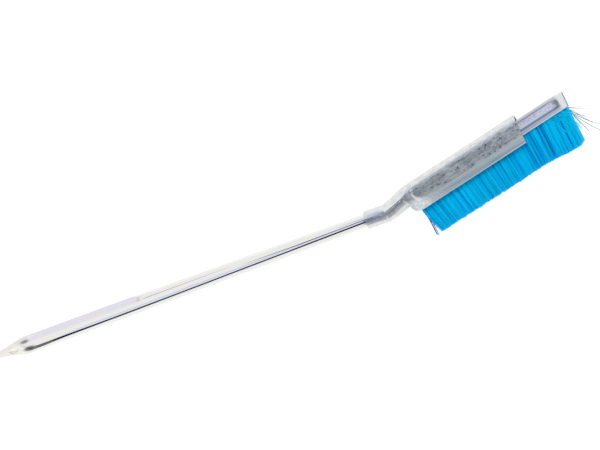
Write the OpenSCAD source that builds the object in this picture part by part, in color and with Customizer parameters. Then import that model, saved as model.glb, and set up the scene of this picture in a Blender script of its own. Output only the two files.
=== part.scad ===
// Crevice brush: a strip brush pressed into the slit end of a galvanised tube holder, which is
// swaged onto a tapered, polished steel tube with a flattened tail and a hanging hole.
// The brush lies on its side: X runs along the handle towards the head, Z is up, and the
// bristles point to -Y. The elbow is where the handle's axis meets the head's.

/* [Handle] */
// Length of the handle from its tail to the elbow
handle_l = 294; // [200:1:420]
// Outside diameter of the handle's rear part
handle_d = 12.5; // [11:0.1:16]
// Outside diameter of the handle's front end
neck_d = 9.5; // [8:0.1:11]
// Wall of the handle tube
handle_wall = 1.1; // [0.8:0.1:1.6]
// Length of the rear part before the taper starts, from the tail
grip_l = 104; // [60:1:160]
// Length of the straight front part, from the elbow
front_l = 32; // [20:1:50]

/* [Tail] */
// Length of the squashed flat at the tail
tail_l = 16; // [15:0.5:30]
// Length over which the round tube is squashed
shoulder_l = 10; // [6:0.5:20]
// Thickness of the flat
tail_t = 2.8; // [2.4:0.1:4]
// Radius of the flat's tip
tip_r = 3; // [2.5:0.1:6]
// Turn of the flat from the plane of the brush
tail_turn = 60; // [0:1:90]
// Diameter of the hanging hole
hole_d = 6; // [3:0.1:7]
// Distance of the hole's centre from the tail
hole_x = 12.5; // [10:0.1:13]

/* [Holder] */
// Angle between the handle and the head
crank = 12.7; // [0:0.1:30]
// Length of the socket that takes the handle, from its mouth to the elbow
socket_l = 15; // [12:0.5:30]
// Gap between the handle's front end and the elbow
front_gap = 1; // [0:0.1:4]
// Wall of the socket, which the swaging has thickened
socket_wall = 1.65; // [1.2:0.05:2.2]
// Wall of the rest of the holder
holder_wall = 1.2; // [0.8:0.05:1.5]
// Length of the round neck, from the elbow to the start of the slit
neck_l = 17; // [12:0.5:30]
// Length over which the slit tube spreads to its full depth
spread_l = 6.6; // [4:0.1:12]
// Length of the holder along its back, from the elbow
holder_l = 112.5; // [80:0.5:140]
// Rise of the holder's back axis over the elbow
back_y = 2.1; // [0:0.1:4]
// How far the holder's sides are pressed in onto the strip
press_depth = 0.95; // [0.4:0.05:1.1]
// Length over which a pressed side runs back out
press_ramp = 1.2; // [0.6:0.1:2]
// How far the holder's lips reach past the channel
lip_l = 5.4; // [3:0.1:8]
// How far the lips' edges are turned out
lip_flare = 0.5; // [0.1:0.05:1]
// Slant of the cut ends
cut_slant = 7; // [0:0.5:12]

/* [Strip] */
// Length of the strip
strip_l = 126; // [110:1:160]
// Width of the channel
channel_w = 10; // [8.5:0.1:11]
// Height of the channel
channel_h = 11.6; // [10:0.1:14]
// Wall of the channel
channel_wall = 0.9; // [0.6:0.05:1.1]
// Rise of the channel's back over the holder's back axis
channel_rise = 3; // [2:0.1:3.2]
// Radius of the channel's back corners
channel_r = 2; // [1.2:0.1:2.5]
// How far the channel's sides are pressed in onto the filaments
channel_press = 0.8; // [0.3:0.05:0.9]
// Width of the land between the channel's back and its pressed side
channel_land = 1.9; // [1:0.1:2.5]
// Height of the channel's lower lips, which stay proud
channel_lip = 2.6; // [2:0.1:4]
// Length of the channel's free end that stays unpressed
open_end_l = 5; // [3:0.5:10]
// Diameter of the core wire
wire_d = 2.4; // [1.6:0.1:3]

/* [Filaments] */
// Reach of the filaments past the channel
bristle_l = 26; // [15:0.5:45]
// Number of strands along the strip
strand_cols = 84; // [60:1:84]
// Number of strands across the strip
strand_rows = 5; // [4:1:5]
// Share of its pitch that a strand fills at its root
strand_fill = 0.8; // [0.6:0.01:0.85]
// How much wider the brush is at its tips than at its roots
flare = 1.55; // [1.3:0.05:1.8]
// Length of the line of tips as a share of the line of roots, as the filaments draw together
tip_line = 0.94; // [0.9:0.01:1]
// How much further the tips reach at the free end
end_drop = 2.2; // [0:0.1:4]
// How far the strays at the free end reach out
stray_l = 13; // [4:0.5:16]

/* [Hidden] */
$fn = 64;
hull_fn = 36;
slice = 0.02;
past = 1;
fit = 0.05;
soft_gap = 0.1;

// Handle and tail: the squashed flat keeps the length of the round wall's middle line
squash_x = tail_l + shoulder_l - handle_l;
tail_w = tail_t + PI * (handle_d - tail_t) / 2;
tail_low = (tail_w - tail_t) / 2 * sin(tail_turn) + tail_t / 2;

// Holder: its width follows from the channel that it grips
back_r = channel_w / 2 + fit + holder_wall + press_depth;
socket_r = neck_d / 2 + fit + socket_wall;
channel_top = back_y + channel_rise;
channel_low = channel_top - channel_h;
lip_y = channel_low - lip_l;
press_x = neck_l + spread_l;
press_top = channel_top - press_ramp;

// Strip: it starts where the holder's sides are pressed in and sticks out of the open end
strip_x = press_x + fit;
strip_end = strip_x + strip_l;
cut_l = channel_h * tan(cut_slant);

// Filaments: folded round the wire, in the channel's pressed part
root_w = channel_w - 2 * (channel_wall + channel_press + soft_gap);
root_inset = 0.5;
root_x = strip_x + root_inset;
root_end = strip_end - cut_l - root_inset;
root_y = channel_low + root_inset;
wire_y = channel_top - channel_wall - soft_gap - root_w / 2;
tip_y = channel_low - bristle_l;
stray_y = channel_low - bristle_l / 2;

// The origin is at the middle of the whole brush, on the surface that it lies on
lift = max(back_r + lip_flare, tail_low, handle_d / 2);
far_x = (root_end + stray_l) * cos(crank) - stray_y * sin(crank);
high_y = strip_end * sin(crank) + channel_top * cos(crank);
tip_middle = (root_x + root_end) / 2;
function drawn_in(x) = tip_middle + (x - tip_middle) * tip_line;
low_y = drawn_in(root_x) * sin(crank) + tip_y * cos(crank);
middle = [(far_x - handle_l) / 2, (high_y + low_y) / 2];

module in_row() translate([-middle.x, -middle.y, lift]) children();
module in_head() in_row() rotate([0, 0, crank]) children();

// Extrudes a section along X: its first axis is Y and its second is Z
module along(length) rotate([90, 0, 90]) linear_extrude(length) children();

// Keeps what lies behind a slanted cut that passes through a point of the X-Y plane
module cut_off(x, y) {
    reach = 60;
    difference() {
        children();
        translate([x, y, -reach / 2])
            rotate([0, 0, -cut_slant])
                translate([0, -reach, 0]) cube([reach, 2 * reach, reach]);
    }
}

// Handle
module tapered_tube() {
    front_x = -front_gap;
    rotate([0, 90, 0])
        rotate_extrude()
            polygon([
                [handle_d / 2, squash_x],
                [handle_d / 2, grip_l - handle_l],
                [neck_d / 2, -front_l],
                [neck_d / 2, front_x],
                [neck_d / 2 - handle_wall, front_x],
                [neck_d / 2 - handle_wall, -front_l],
                [handle_d / 2 - handle_wall, grip_l - handle_l],
                [handle_d / 2 - handle_wall, squash_x]
            ]);
}

// The stretch where a round section of diameter d becomes a flat one of width w and thickness t
module squash(d, w, t) {
    hull() {
        along(slice) circle(d = d, $fn = hull_fn);
        translate([-shoulder_l, 0, 0])
            along(slice)
                for (side = [-1, 1])
                    translate([side * (w - t) / 2, 0]) circle(d = t, $fn = hull_fn);
    }
}

module tail_outline() {
    hull() {
        translate([tip_r, 0]) circle(tip_r, $fn = hull_fn);
        translate([tail_l - slice, -tail_w / 2]) square([2 * slice, tail_w]);
    }
}

module tail_flat() {
    intersection() {
        along(tail_l + slice) {
            square([tail_w - tail_t, tail_t], center = true);
            for (side = [-1, 1])
                translate([side * (tail_w - tail_t) / 2, 0]) circle(d = tail_t);
        }
        translate([0, 0, -tail_t]) linear_extrude(2 * tail_t) tail_outline();
    }
}

module handle_tube() {
    // The drawn-down end covers the tube's wall, so that its flat sides don't graze the round ones
    cover = 0.04;
    outer_d = handle_d / cos(180 / hull_fn) + cover;
    bore_d = handle_d - 2 * handle_wall - cover;
    color("gainsboro")
        in_row() {
            tapered_tube();
            rotate([tail_turn, 0, 0])
                difference() {
                    union() {
                        translate([squash_x, 0, 0]) squash(outer_d, tail_w, tail_t);
                        translate([-handle_l, 0, 0]) tail_flat();
                    }
                    translate([squash_x + slice, 0, 0]) squash(bore_d, tail_w - tail_t, slice);
                    translate([hole_x - handle_l, 0, -tail_t]) cylinder(d = hole_d, h = 2 * tail_t);
                }
        }
}

// Holder
module back_section(r, low) {
    translate([back_y, 0]) circle(r);
    if (low < back_y) translate([low, -r]) square([back_y - low, 2 * r]);
}

// The round end of the slit, where the tube spreads into the two lips
module spread(r, length, extra) {
    round_low = back_y - back_r;
    function low(turn) = lip_y * sin(turn) + round_low * (1 - sin(turn)) - extra;
    hull()
        for (turn = [0:30:90])
            translate([neck_l + length * (1 - cos(turn)), 0, 0])
                along(slice) back_section(r, turn == 0 ? back_y : low(turn), $fn = hull_fn);
}

module neck(r) {
    hull() {
        sphere(r, $fn = hull_fn);
        translate([neck_l, 0, 0]) along(slice) translate([back_y, 0]) circle(r, $fn = hull_fn);
    }
}

// The holder's pressed U: one side of it is drawn, and the other mirrors it
module pressed_section(r, extra) {
    low = lip_y - extra;
    difference() {
        union() {
            translate([back_y, 0]) circle(r);
            polygon([
                [back_y, r],
                [channel_low - press_ramp, r],
                [low, r + lip_flare],
                [low, -r - lip_flare],
                [channel_low - press_ramp, -r],
                [back_y, -r]
            ]);
        }
        for (side = [-1, 1])
            scale([1, side])
                polygon([
                    [press_top + press_ramp, r],
                    [press_top, r - press_depth],
                    [channel_low, r - press_depth],
                    [channel_low - press_ramp, r],
                    [channel_low - press_ramp, r + past],
                    [press_top + press_ramp, r + past]
                ]);
    }
}

module brush_holder() {
    run = holder_l - press_x;
    inner_r = back_r - holder_wall;
    inner_x = press_x - holder_wall;
    color("darkgray")
        in_row()
            difference() {
                union() {
                    translate([-socket_l, 0, 0]) along(socket_l) circle(socket_r);
                    rotate([0, 0, crank]) {
                        neck(back_r);
                        spread(back_r, spread_l, 0);
                        cut_off(holder_l, back_y + back_r)
                            translate([press_x, 0, 0]) along(run) pressed_section(back_r, 0);
                    }
                }
                translate([-socket_l - past, 0, 0]) along(socket_l + past) circle(neck_d / 2 + fit);
                rotate([0, 0, crank]) {
                    neck(inner_r);
                    spread(inner_r, spread_l - holder_wall, past);
                    translate([inner_x, 0, 0])
                        along(run + holder_wall + past) pressed_section(inner_r, past);
                }
            }
}

// Strip brush
module channel_section(w, top, low, r) {
    translate([low, -w / 2]) square([top - r - low, w]);
    translate([top - r, r - w / 2]) square([r, w - 2 * r]);
    for (side = [-1, 1])
        translate([top - r, side * (w / 2 - r)]) circle(r);
}

// The space outside a channel side that is pressed in, with sloping ends
module channel_pockets(face) {
    length = strip_l - cut_l - open_end_l;
    low = channel_low + channel_lip;
    high = channel_top - channel_land;
    for (side = [0, 1])
        mirror([0, 0, side])
            hull() {
                translate([strip_x - past, low, face])
                    cube([length + past, high - low, past]);
                translate([strip_x - past, low + channel_press, face - channel_press])
                    cube([length + past - channel_press, high - low - 2 * channel_press, slice]);
            }
}

module strip_channel() {
    inner_r = channel_r - channel_wall;
    color("lightsteelblue")
        in_head()
            cut_off(strip_end, channel_top)
                difference() {
                    translate([strip_x, 0, 0])
                        along(strip_l) channel_section(channel_w, channel_top, channel_low, channel_r);
                    channel_pockets(channel_w / 2);
                    difference() {
                        translate([strip_x - past, 0, 0])
                            along(strip_l + 2 * past)
                                channel_section(channel_w - 2 * channel_wall, channel_top - channel_wall,
                                                channel_low - past, inner_r);
                        channel_pockets(channel_w / 2 - channel_wall);
                    }
                }
}

module core_wire() {
    color("slategray")
        in_head()
            translate([root_x, wire_y, 0]) along(root_end - root_x) circle(d = wire_d);
}

// Filaments: one closed mesh of the folded bundle, its wire bore and the strands, whose roots are
// cells of the bundle's lower face. Even-numbered cells are the gaps between strands.
pitch_x = (root_end - root_x) / strand_cols;
pitch_z = root_w / strand_rows;
last_x = 2 * strand_cols + 1;
last_z = 2 * strand_rows + 1;
noise_seed = 11;
noise = rands(-1, 1, 3 * strand_cols * strand_rows, noise_seed);
tip_share = 0.6;
wander = 0.2;
drop_cols = 20;
short_stray = 0.5;
stray_wander = bristle_l / 5;

function line_at(i, last, pitch) =
    i == 0 ? 0 :
    i == last ? pitch * (last - 1) / 2 :
    pitch * (floor((i - 1) / 2) + (1 + (i % 2 == 0 ? 1 : -1) * strand_fill) / 2);
function cell_x(i) = root_x + line_at(i, last_x, pitch_x);
function cell_z(j) = line_at(j, last_z, pitch_z) - root_w / 2;

// Where a strand's tip centre is. The last column holds the strays.
function is_stray(c) = c == strand_cols - 1;
function drop(c) = end_drop * min(1, 2 * max(0, c - strand_cols + drop_cols) / drop_cols);
function tip_centre(c, r) =
    let (
        n = 3 * (c * strand_rows + r),
        x = drawn_in(root_x + pitch_x * (c + 0.5)),
        y = tip_y - drop(c),
        z = (pitch_z * (r + 0.5) - root_w / 2) * flare
    )
    is_stray(c)
        ? [root_end + stray_l * (r % 2 == 0 ? 1 : short_stray), stray_y + noise[n + 1] * stray_wander, z]
        : [x + noise[n] * wander, y + noise[n + 1] * wander * 2, z + noise[n + 2] * wander];
function tip_corner(c, r, q) =
    let (
        share = is_stray(c) ? tip_share / 2 : tip_share,
        dx = (q == 0 || q == 3 ? -1 : 1) * pitch_x * strand_fill / 2 * share,
        dz = (q < 2 ? -1 : 1) * pitch_z * strand_fill / 2 * share
    )
    tip_centre(c, r) + [dx, 0, dz];

// The bundle's section: its lower face, then up one side, over the fold and down the other
side_turns = [-45, -22];
fold_turns = [for (turn = [0:22.5:180]) turn];
rim = concat(
    [for (turn = side_turns) [wire_y + root_w / 2 * tan(turn), root_w / 2]],
    [for (turn = fold_turns) [wire_y + root_w / 2 * sin(turn), root_w / 2 * cos(turn)]],
    [for (turn = [side_turns[1], side_turns[0]]) [wire_y + root_w / 2 * tan(turn), -root_w / 2]]
);
foot = [for (j = [0:last_z]) [root_y, cell_z(j)]];
ring = concat(foot, rim);
bore_step = 24;
bore_r = (wire_d / 2 + fit) / cos(bore_step / 2);
function bore_point(p) =
    let (turn = atan2(p[0] - wire_y, p[1])) [wire_y + bore_r * sin(turn), bore_r * cos(turn)];

rim_start = (last_x + 1) * (last_z + 1);
bore_start = rim_start + 2 * len(rim);
tip_start = bore_start + 2 * len(ring);
function base_at(i, j) = i * (last_z + 1) + j;
function ring_at(e, k) =
    let (n = k % len(ring))
    n <= last_z ? base_at(e * last_x, n) : rim_start + e * len(rim) + n - last_z - 1;
function bore_at(e, k) = bore_start + e * len(ring) + k % len(ring);
function tip_at(c, r, q) = tip_start + 4 * (c * strand_rows + r) + q % 4;
function root_at(c, r, q) =
    base_at(2 * c + 1 + (q % 4 == 1 || q % 4 == 2 ? 1 : 0), 2 * r + 1 + (q % 4 >= 2 ? 1 : 0));
function quad(a, b, c, d) = [[a, c, b], [a, d, c]];
function is_gap(i, j) = i % 2 == 0 || j % 2 == 0;

module bristles() {
    ends = [root_x, root_end];
    points = concat(
        [for (i = [0:last_x]) for (j = [0:last_z]) [cell_x(i), root_y, cell_z(j)]],
        [for (e = [0, 1]) for (p = rim) [ends[e], p[0], p[1]]],
        [for (e = [0, 1]) for (p = ring) let (b = bore_point(p)) [ends[e], b[0], b[1]]],
        [for (c = [0:strand_cols - 1]) for (r = [0:strand_rows - 1]) for (q = [0:3]) tip_corner(c, r, q)]
    );
    foot_faces = [
        for (i = [0:last_x - 1]) for (j = [0:last_z - 1]) if (is_gap(i, j))
            each quad(base_at(i, j), base_at(i + 1, j), base_at(i + 1, j + 1), base_at(i, j + 1))
    ];
    strand_faces = [
        for (c = [0:strand_cols - 1]) for (r = [0:strand_rows - 1])
            each concat(
                [for (q = [0:3])
                    each quad(root_at(c, r, q), root_at(c, r, q + 1), tip_at(c, r, q + 1), tip_at(c, r, q))],
                quad(tip_at(c, r, 0), tip_at(c, r, 1), tip_at(c, r, 2), tip_at(c, r, 3))
            )
    ];
    // The long faces between the two ends. The two beside the lower face meet all its cells.
    near = ring_at(0, last_z + 1);
    far = ring_at(0, len(ring) - 1);
    side_faces = concat(
        [for (i = [0:last_x - 1]) [near, base_at(i + 1, last_z), base_at(i, last_z)]],
        [[near, ring_at(1, last_z + 1), base_at(last_x, last_z)]],
        [for (k = [last_z + 1:len(ring) - 2])
            each quad(ring_at(0, k), ring_at(1, k), ring_at(1, k + 1), ring_at(0, k + 1))],
        [for (i = [0:last_x - 1]) [far, base_at(i, 0), base_at(i + 1, 0)]],
        [[far, base_at(last_x, 0), ring_at(1, len(ring) - 1)]]
    );
    bore_faces = [
        for (k = [0:len(ring) - 1])
            each concat(
                quad(bore_at(0, k + 1), bore_at(1, k + 1), bore_at(1, k), bore_at(0, k)),
                quad(ring_at(0, k), ring_at(0, k + 1), bore_at(0, k + 1), bore_at(0, k)),
                quad(ring_at(1, k + 1), ring_at(1, k), bore_at(1, k), bore_at(1, k + 1))
            )
    ];
    color("deepskyblue")
        in_head()
            polyhedron(points, concat(foot_faces, strand_faces, side_faces, bore_faces), convexity = 10);
}

handle_tube();
brush_holder();
strip_channel();
core_wire();
bristles();
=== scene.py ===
# %% [markdown]
# # A crevice brush: steel tube, pressed holder and blue strip brush
#
# The brush is a polished steel tube whose tail is squashed flat, a galvanised holder that is
# swaged on the tube and pressed on a strip brush, and the strip brush itself: a steel channel
# with nylon filaments folded round a wire. The CAD frame gives every size and place. This
# notebook dresses it: the metal forms are pressed from flat blanks, as in the workshop, and
# the filaments are planted one by one.

from math import cos, pi, radians, sin, tan

import bpy
import numpy as np
from mathutils import Matrix, Vector


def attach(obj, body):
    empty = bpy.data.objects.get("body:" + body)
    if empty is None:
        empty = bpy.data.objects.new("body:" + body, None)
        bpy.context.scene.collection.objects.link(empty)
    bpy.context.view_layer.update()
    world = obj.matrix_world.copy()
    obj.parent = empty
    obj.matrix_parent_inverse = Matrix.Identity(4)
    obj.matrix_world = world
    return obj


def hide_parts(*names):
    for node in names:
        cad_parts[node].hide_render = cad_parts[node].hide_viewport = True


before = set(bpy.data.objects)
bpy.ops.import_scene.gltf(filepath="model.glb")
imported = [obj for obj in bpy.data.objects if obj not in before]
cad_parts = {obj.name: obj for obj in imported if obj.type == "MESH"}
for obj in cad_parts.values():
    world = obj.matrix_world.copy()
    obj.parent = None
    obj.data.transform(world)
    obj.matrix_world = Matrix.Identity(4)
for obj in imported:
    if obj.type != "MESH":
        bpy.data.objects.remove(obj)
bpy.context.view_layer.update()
print("nodes:", sorted(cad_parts))

# %% [markdown]
# ## Where things are
#
# The brush lies on its side. Its handle runs along X and its head is cranked by 12.7 degrees
# at the elbow. Sizes are in millimetres here, as in the CAD source, and become metres where
# they are used. Two short functions place a point that is known along the handle or the head.

# %% The handle's axes and the head's
MM = 0.001
ELBOW = np.array([66.46, -6.147, 8.0])
CRANK = radians(12.7)


def on_handle(points):
    """Handle millimetres (x from the elbow, y up the brush's plane, z up) to row metres."""
    return (np.asarray(points, float) + ELBOW) * MM


def on_head(points):
    """Head millimetres to row metres: the head's axes are turned by the crank."""
    p = np.asarray(points, float)
    x = p[..., 0] * cos(CRANK) - p[..., 1] * sin(CRANK)
    y = p[..., 0] * sin(CRANK) + p[..., 1] * cos(CRANK)
    return (np.stack([x, y, p[..., 2]], -1) + ELBOW) * MM


print("elbow in the row (m):", on_handle([0, 0, 0]))

# %% [markdown]
# ## The photograph's view
#
# The camera looks almost straight down on the plane of the brush, through a very long lens, and
# leans a little towards the head's free end, where the open ends of the holder and the strip
# can be seen. The handle rises to the right by about 20 degrees in the picture. Two measures
# place the camera: the elbow's place in the picture, and the number of pixels to a millimetre.

# %% Camera
PICTURE_W = 600
PICTURE_H = 450
ELBOW_PIXEL = (385.8, 213.05)
PIXELS_PER_MM = 1.415
RISE = radians(20.05)
LEAN = radians(8.0)
CAMERA_FAR = 6.0
VIEW_END = 20
SENSOR = 36.0

picture_right = Vector((cos(RISE), -sin(RISE), 0))
picture_up = Vector((sin(RISE), cos(RISE), 0))
off_right = (PICTURE_W / 2 - ELBOW_PIXEL[0]) / PIXELS_PER_MM * MM
off_up = (ELBOW_PIXEL[1] - PICTURE_H / 2) / PIXELS_PER_MM * MM
aim = Vector(on_handle([0, 0, 0])) + picture_right * off_right + picture_up * off_up
head_way = Vector((cos(CRANK), sin(CRANK), 0))
back = (Vector((0, 0, cos(LEAN))) + head_way * sin(LEAN)).normalized()
right = (picture_right - back * picture_right.dot(back)).normalized()
up = back.cross(right)

camera_data = bpy.data.cameras.new("camera")
camera = bpy.data.objects.new("camera", camera_data)
bpy.context.scene.collection.objects.link(camera)
aimed = Matrix((right, up, back)).transposed().to_4x4()
camera.matrix_world = Matrix.Translation(aim + back * CAMERA_FAR) @ aimed
camera_data.sensor_width = SENSOR
camera_data.lens = SENSOR * CAMERA_FAR * PIXELS_PER_MM / (PICTURE_W * MM * cos(LEAN))
camera_data.clip_end = VIEW_END
bpy.context.scene.camera = camera
print("camera at", tuple(round(c, 3) for c in camera.location), "lens", round(camera_data.lens, 1))

# %% [markdown]
# ## A blank, and how it is wrapped
#
# A tube or a channel starts as a flat strip of steel. Here too: a grid is added as the blank,
# and each of its points goes where rolling and pressing would put it. `across` runs round the
# section and `along` runs down its length. Edge lines stay in order, so the sheet stays clean
# for the modifier that gives it its wall.


# %% A flat blank
def deselect_all():
    if bpy.context.mode != "OBJECT":
        bpy.ops.object.mode_set(mode="OBJECT")
    bpy.ops.object.select_all(action="DESELECT")


def blank(name, across, along, wrap):
    """A flat grid whose point at (u, v), both 0 to 1, goes to wrap(u, v) in row metres."""
    deselect_all()
    bpy.ops.mesh.primitive_grid_add(x_subdivisions=across, y_subdivisions=along, size=1)
    piece = bpy.context.object
    piece.name = name
    flat = np.zeros(3 * len(piece.data.vertices))
    piece.data.vertices.foreach_get("co", flat)
    flat = flat.reshape(-1, 3) + 0.5
    piece.data.vertices.foreach_set("co", wrap(flat[:, 0], flat[:, 1]).ravel())
    piece.data.update()
    print(piece.name, "is a blank of", len(piece.data.vertices), "points")
    return piece


# %% [markdown]
# ## The handle
#
# The handle is one steel tube: full size at the grip, drawn down to the neck, and squashed
# flat at the tail, where a hole is punched to hang it up. Its blank is wrapped to rings whose
# half width and half height change along the tube. A superellipse takes each ring from a
# circle to a flat with round sides, as a press does. The rings lie closer together at the
# shoulder and the tip, where the form turns fast.

# %% The tube's rings
HANDLE_L = 294.0
HANDLE_R = 6.25
NECK_R = 4.75
GRIP_L = 104.0
FRONT_L = 32.0
TAIL_L = 16.0
SHOULDER_L = 10.0
TAIL_T = 2.8
TAIL_W = 18.04
TAIL_TIP_R = 3.0
TAIL_TURN = radians(60)
FLAT_POWER = 5.0
FLAT_HOLDS = 1.2
TIP_ROUND = 1.3
WIDER_FROM = 0.8 * TAIL_TIP_R


def ease(low, high, value):
    """0 before low, 1 after high, and a soft step between them."""
    t = np.clip((np.asarray(value, float) - low) / (high - low), 0, 1)
    return t * t * (3 - 2 * t)


def ring_sizes(x):
    """Half width, half height and squareness of the tube's ring, x mm from its tail."""
    taper = np.clip((x - GRIP_L) / (HANDLE_L - FRONT_L - GRIP_L), 0, 1)
    tube_r = HANDLE_R + (NECK_R - HANDLE_R) * taper
    flat = 1 - ease(TAIL_L - 2, TAIL_L + SHOULDER_L, x)
    widened = np.clip((x - WIDER_FROM) / (TAIL_L - WIDER_FROM), 0, 1)
    side = TAIL_TIP_R + (TAIL_W / 2 - TAIL_TIP_R) * widened
    nose = np.sqrt(np.clip(1 - (1 - np.clip(x / TAIL_TIP_R, 0, 1)) ** 2, 0, 1))
    rounding = np.sqrt(np.clip(1 - (1 - np.clip(x / TIP_ROUND, 0, 1)) ** 2, 0.02, 1))
    width = tube_r + (np.minimum(side, TAIL_W / 2) * nose - tube_r) * flat
    height = tube_r + (TAIL_T / 2 * rounding - tube_r) * flat**FLAT_HOLDS
    return width, height, 2 + (FLAT_POWER - 2) * flat


print("half width and height of the grip (mm):", *ring_sizes(np.array([60.0]))[:2])

# %% [markdown]
# The blank becomes the tube, its seam is welded, and its two open ends are filled with one
# face each. The same steps come back for other blanks, so they are short functions.


# %% Seams and ends
def only(piece):
    """Selects one piece and makes it the active one."""
    deselect_all()
    piece.select_set(True)
    bpy.context.view_layer.objects.active = piece


def edit(piece):
    """Opens a piece in edit mode with all of it selected."""
    only(piece)
    bpy.ops.object.mode_set(mode="EDIT")
    bpy.ops.mesh.select_all(action="SELECT")


def leave_facing_out():
    """Turns the faces of the piece in edit mode outward, and leaves edit mode."""
    bpy.ops.mesh.select_all(action="SELECT")
    bpy.ops.mesh.normals_make_consistent(inside=False)
    bpy.ops.object.mode_set(mode="OBJECT")


def close_seams(piece, gap=0.02 * MM):
    """Welds the seam of a wrapped blank."""
    edit(piece)
    bpy.ops.mesh.remove_doubles(threshold=gap)
    leave_facing_out()


def fill_ends(piece):
    """Fills each open end of a wrapped blank with one face."""
    edit(piece)
    bpy.ops.mesh.select_all(action="DESELECT")
    bpy.ops.mesh.select_non_manifold(
        extend=False, use_wire=False, use_multi_face=False, use_non_contiguous=False
    )
    bpy.ops.mesh.edge_face_add()
    leave_facing_out()


print("mode before the first edit:", bpy.context.mode)

# %% Wrap the tube
TUBE_V = [0, 0.12, 0.3, 0.75, 1]
TUBE_X = [0.0, 0.02, 0.07, 0.13, 1]
# The front end stands a little back, out of sight in the holder
FRONT_GAP = 1


def wrap_tube(u, v):
    """Rings of the tube from its tail to its front end."""
    x = HANDLE_L * np.interp(v, TUBE_V, TUBE_X) - FRONT_GAP * (v >= 1)
    turn = 2 * pi * u
    width, height, power = ring_sizes(x)
    y = width * np.sign(np.cos(turn)) * np.abs(np.cos(turn)) ** (2 / power)
    z = height * np.sign(np.sin(turn)) * np.abs(np.sin(turn)) ** (2 / power)
    turned_y = y * cos(TAIL_TURN) - z * sin(TAIL_TURN)
    turned_z = y * sin(TAIL_TURN) + z * cos(TAIL_TURN)
    return on_handle(np.stack([x - HANDLE_L, turned_y, turned_z], -1))


handle = blank("handle", 96, 200, wrap_tube)
close_seams(handle, 0.005 * MM)
fill_ends(handle)
print("handle ends closed:", len(handle.data.polygons), "faces")

# %% [markdown]
# The hanging hole is punched through the flat. The punch is a disc that is drawn out and
# flares a little at both faces of the flat, so the cut leaves a rounded rim, as wear does.

# %% Punch the hanging hole
HOLE_R = 3.0
HOLE_X = 12.5
RIM = 0.5
WIDE_R = HOLE_R + 2 * RIM
# Each step of the punch: how far it is drawn out, and its radius there
PUNCH_STEPS = [
    (RIM + 0.6, HOLE_R + 0.1), (0.4, HOLE_R), (1.4, HOLE_R), (0.4, HOLE_R + 0.1),
    (RIM + 0.6, WIDE_R),
]


def add_modifier(piece, kind, **settings):
    """Adds a modifier, applies it, and leaves the new shape in the mesh."""
    only(piece)
    modifier = piece.modifiers.new(kind.title(), kind)
    for key, value in settings.items():
        setattr(modifier, key, value)
    bpy.ops.object.modifier_apply(modifier=modifier.name)


def smooth(piece, angle):
    """Shades a piece smooth, but for edges sharper than the angle."""
    only(piece)
    bpy.ops.object.shade_smooth_by_angle(angle=radians(angle))
    print(piece.name, "faces:", len(piece.data.polygons))


deselect_all()
bpy.ops.mesh.primitive_circle_add(vertices=48, radius=WIDE_R * MM, fill_type="NGON")
punch = bpy.context.object
punch.name = "punch"
bpy.ops.object.mode_set(mode="EDIT")
radius = WIDE_R
for step, wide in PUNCH_STEPS:
    bpy.ops.mesh.extrude_region_move(TRANSFORM_OT_translate={"value": (0, 0, step * MM)})
    bpy.ops.transform.resize(value=(wide / radius, wide / radius, 1))
    radius = wide
leave_facing_out()
punch_l = sum(step for step, wide in PUNCH_STEPS)
hole = Matrix.Translation(Vector(on_handle([HOLE_X - HANDLE_L, 0, 0])))
turned = Matrix.Rotation(TAIL_TURN, 4, "X")
punch.data.transform(hole @ turned @ Matrix.Translation((0, 0, -punch_l / 2 * MM)))
add_modifier(handle, "BOOLEAN", operation="DIFFERENCE", object=punch, solver="EXACT")
bpy.data.objects.remove(punch)
smooth(handle, 35)

# %% [markdown]
# ## One helper for all nodes
#
# Colours are written as sRGB hex values, as they are picked from a photograph, and one
# function turns them to the linear values that Blender works in. Another adds a node with its
# settings and its links, so that a material reads from top to bottom.


# %% Colours and nodes
def colour(hex_value):
    """#rrggbb in sRGB to linear RGBA."""
    channels = [int(hex_value[i : i + 2], 16) / 255 for i in (1, 3, 5)]
    linear = [c / 12.92 if c <= 0.04045 else ((c + 0.055) / 1.055) ** 2.4 for c in channels]
    return (*linear, 1.0)


def add_node(tree, kind, settings=None, **inputs):
    """Adds a shader node with its settings and its links.

    An input goes by its name, or by its number, as in i0. It gets a value, a hex colour, a
    socket, or a node, which stands for its first output in use. The stops of a ramp are pairs
    of a position and a colour or a grey.
    """
    node = tree.nodes.new("ShaderNode" + kind)
    for key, value in (settings or {}).items():
        if key != "stops":
            setattr(node, key, value)
            continue
        elements = node.color_ramp.elements
        while len(elements) < len(value):
            elements.new(0.5)
        for element, (position, tone) in zip(elements, value):
            element.position = position
            element.color = colour(tone) if isinstance(tone, str) else (tone, tone, tone, 1)
    for key, value in inputs.items():
        if key[1:].isdigit():
            socket = node.inputs[int(key[1:])]
        else:
            name = key.replace("_", " ")
            socket = next(s for s in node.inputs if s.name == name and s.enabled)
        if isinstance(value, bpy.types.Node):
            value = next(s for s in value.outputs if s.enabled)
        if isinstance(value, bpy.types.NodeSocket):
            tree.links.new(value, socket)
        else:
            socket.default_value = colour(value) if isinstance(value, str) else value
    return node


# Settings that come back often: a colour mix, and what a Math node works out
RGBA = {"data_type": "RGBA"}
TIMES = {"operation": "MULTIPLY"}
PLUS = {"operation": "ADD"}
LESS = {"operation": "SUBTRACT"}
LARGER = {"operation": "MAXIMUM"}
UNSIGNED = {"operation": "ABSOLUTE"}
LENGTH = {"operation": "LENGTH"}
print("a mid grey is, in linear values:", colour("#808080"))


# %% Materials, and what a piece stands for
def new_material(name):
    """An empty material, and its tree."""
    material = bpy.data.materials.new(name)
    material.use_nodes = True
    material.node_tree.nodes.clear()
    return material, material.node_tree


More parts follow.
